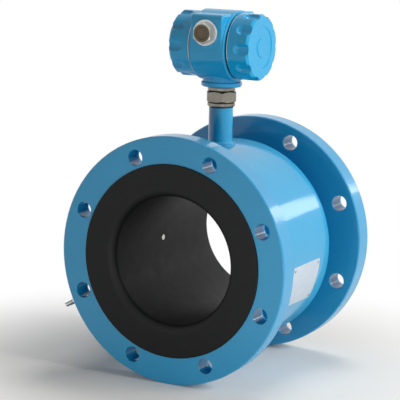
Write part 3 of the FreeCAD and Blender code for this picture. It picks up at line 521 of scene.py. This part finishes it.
# The bright bare-metal ring over the hexagon's rim is painted reflection.
lay_bare(plug_bronze, painted_reflection_ring, "#a9a9a2")
cut_thread(plug_bronze, "Y", plug_pitch, on_shank)
dress(plug_bronze, "inlet_side_plug", "outlet_side_plug")

# Tinned steel, pale and soft, which spreads the light.
dress(bare_metal("tinned_plug_ring", "#b4bbbc", "#c8cccb", 0.34, 0.0008, (1, 1, 1)),
      "inlet_side_plug_ring", "outlet_side_plug_ring")


# Terminals and boards
# Glass-fibre boards on brass pillars, and a black moulded terminal strip on the board between
# the chambers.

def board_laminate(name, track_cell):
    """Glass-fibre board under green lacquer, with copper tracks that show as raised lighter lines."""
    track_share, track_height = 0.08, 0.00004
    material, tree, place = new_finish(name)
    cells = add_node(tree, "ShaderNodeTexVoronoi", {"feature": "DISTANCE_TO_EDGE", "Scale": 1 / track_cell},
                     {"Vector": place})
    track = add_node(tree, "ShaderNodeMath", {"operation": "LESS_THAN", 1: track_share},
                     {0: cells.outputs["Distance"]})
    colour = add_node(tree, "ShaderNodeMix", {
        "data_type": "RGBA", "A": to_linear("#14502c"), "B": to_linear("#2d7a48")}, {"Factor": track})
    skin = add_node(tree, "ShaderNodeBump", {"Distance": track_height}, {"Height": track})
    close_finish(tree, {"Roughness": 0.3, "Coat Weight": 0.3, "Coat Roughness": 0.1},
                 {"Base Color": colour, "Normal": skin})
    return material


def moulded_plastic(name, shade, tint, grain):
    """Moulded plastic: matt, with the fine pits of a spark-eroded mould."""
    cloud_size = 0.004
    material, tree, place = new_finish(name)
    cloud = add_node(tree, "ShaderNodeTexNoise", {"Scale": 1 / cloud_size}, {"Vector": place})
    colour = add_node(tree, "ShaderNodeMix", {
        "data_type": "RGBA", "A": to_linear(shade), "B": to_linear(tint)}, {"Factor": cloud})
    pits = add_node(tree, "ShaderNodeTexNoise", {"Scale": 1 / grain}, {"Vector": place})
    skin = add_node(tree, "ShaderNodeBump", {"Distance": grain / 15}, {"Height": pits})
    close_finish(tree, {"Roughness": 0.5}, {"Base Color": colour, "Normal": skin})
    return material


dress(board_laminate("lacquered_board", 0.004), "terminal_board", "power_board", "signal_board")
dress(moulded_plastic("black_terminal_plastic", "#1b1c1e", "#26272a", 0.0003), "terminal_strip")
# Turned brass, yellow and bright.
dress(bare_metal("turned_brass", "#a8802f", "#c39a48", 0.25, 0.0006, (1, 1, 1)),
      "board_pillars", "inner_earth_screw")


# Floor
# A matt white floor that keeps the meter's shadow and shades over into the white surroundings
# before its rim.

floor_centre = Vector((0.0, 0.1, cad_box[0].z))
floor_reach = 1.3
floor_corners = 64
fade_start, fade_end = 0.18, 0.55
floor_mesh = bpy.data.meshes.new("floor")
floor_mesh.from_pydata([floor_centre + floor_reach * Vector((math.cos(turn), math.sin(turn), 0)) for turn in
                        (2 * math.pi * step / floor_corners for step in range(floor_corners))],
                       [], [range(floor_corners)])
floor = bpy.data.objects.new("floor", floor_mesh)
bpy.context.scene.collection.objects.link(floor)
floor_paint, tree, place = new_finish("white_floor")
path = add_node(tree, "ShaderNodeLightPath").outputs
seen = add_node(tree, "ShaderNodeMath", {"operation": "MAXIMUM"},
                {0: path["Is Camera Ray"], 1: path["Is Glossy Ray"]})
seen = add_node(tree, "ShaderNodeMath", {"operation": "MAXIMUM"}, {0: seen, 1: path["Is Transmission Ray"]})
centre = add_node(tree, "ShaderNodeVectorMath", {"operation": "DISTANCE", 1: floor_centre}, {0: place})
fade = add_node(tree, "ShaderNodeMapRange", {"interpolation_type": "SMOOTHSTEP", "From Min": fade_start,
                "From Max": fade_end, "To Min": 0.05, "To Max": 1.0}, {"Value": centre})
shown = add_node(tree, "ShaderNodeMath", {"operation": "MULTIPLY"}, {0: fade, 1: seen})
surface = add_node(tree, "ShaderNodeBsdfDiffuse", {"Color": to_linear("#f3f1ed")})
glow = add_node(tree, "ShaderNodeEmission", {"Color": to_linear("#ffffff"), "Strength": 1.0})
blend = add_node(tree, "ShaderNodeMixShader", {}, {0: shown, 1: surface, 2: glow})
add_node(tree, "ShaderNodeOutputMaterial", {}, {"Surface": blend})
floor.data.materials.append(floor_paint)


# Light and surroundings
# A large soft box on the right, one above and a little behind, a low card in front and a small
# window behind on the right for the gloss. The eye and every gloss or metal see white all round,
# and the matt surfaces get a faint light from it.

def soft_box(name, towards, distance, width, height, watts):
    """Area lamp at a distance from the meter's middle, facing it."""
    lamp = bpy.data.lights.new(name, "AREA")
    lamp.shape = "RECTANGLE"
    lamp.size, lamp.size_y = width, height
    lamp.energy = watts
    stand = bpy.data.objects.new(name, lamp)
    direction = Vector(towards).normalized()
    stand.location = middle + direction * distance
    stand.rotation_euler = direction.to_track_quat("Z", "Y").to_euler()
    stand.visible_camera = False
    bpy.context.scene.collection.objects.link(stand)


middle = Vector((0.0, (casing_low.y + casing_high.y) / 2, 0.0))
soft_box("right_soft_box", (0.86, 0.05, 0.42), 2.4, 1.2, 1.0, 44)
soft_box("top_soft_box", (0.05, 0.40, 1.0), 2.6, 1.0, 1.0, 20)
soft_box("front_card", (0.45, -1.0, -0.11), 0.8, 0.8, 0.05, 1.5)
soft_box("back_window", (0.435, 0.861, 0.267), 2.43, 0.26, 0.34, 1.5)

world = bpy.data.worlds.new("white_surroundings")
world.use_nodes = True
bpy.context.scene.world = world
tree = world.node_tree
tree.nodes.clear()
ambient = 0.15
path = add_node(tree, "ShaderNodeLightPath").outputs
seen = add_node(tree, "ShaderNodeMath", {"operation": "MAXIMUM"},
                {0: path["Is Camera Ray"], 1: path["Is Glossy Ray"]})
seen = add_node(tree, "ShaderNodeMath", {"operation": "MAXIMUM"}, {0: seen, 1: path["Is Transmission Ray"]})
strength = add_node(tree, "ShaderNodeMath", {"operation": "MAXIMUM", 1: ambient}, {0: seen})
air = add_node(tree, "ShaderNodeBackground", {"Color": to_linear("#ffffff")}, {"Strength": strength})
add_node(tree, "ShaderNodeOutputWorld", {}, {"Surface": air})


# Camera
# On the inlet side, to the right and a little above the pipe, with a long lens and a tilt of
# about a degree.

aim = middle + Vector((-0.0312, 0.0020, 0.0598))
camera_distance = 2.537
camera_azimuth = math.radians(28.15)
camera_elevation = math.radians(10.51)
camera_roll = 0.0212
camera_data = bpy.data.cameras.new("camera")
camera_data.lens = 161.7
camera_data.sensor_width = 36
camera_data.clip_end = 50
camera = bpy.data.objects.new("camera", camera_data)
direction = Vector((math.sin(camera_azimuth) * math.cos(camera_elevation),
                    -math.cos(camera_azimuth) * math.cos(camera_elevation), math.sin(camera_elevation)))
camera.location = aim + direction * camera_distance
turn = direction.to_track_quat("Z", "Y") @ Quaternion((0, 0, 1), camera_roll)
camera.rotation_euler = turn.to_euler()
bpy.context.scene.collection.objects.link(camera)
bpy.context.scene.camera = camera
bpy.context.scene.view_settings.view_transform = "Standard"
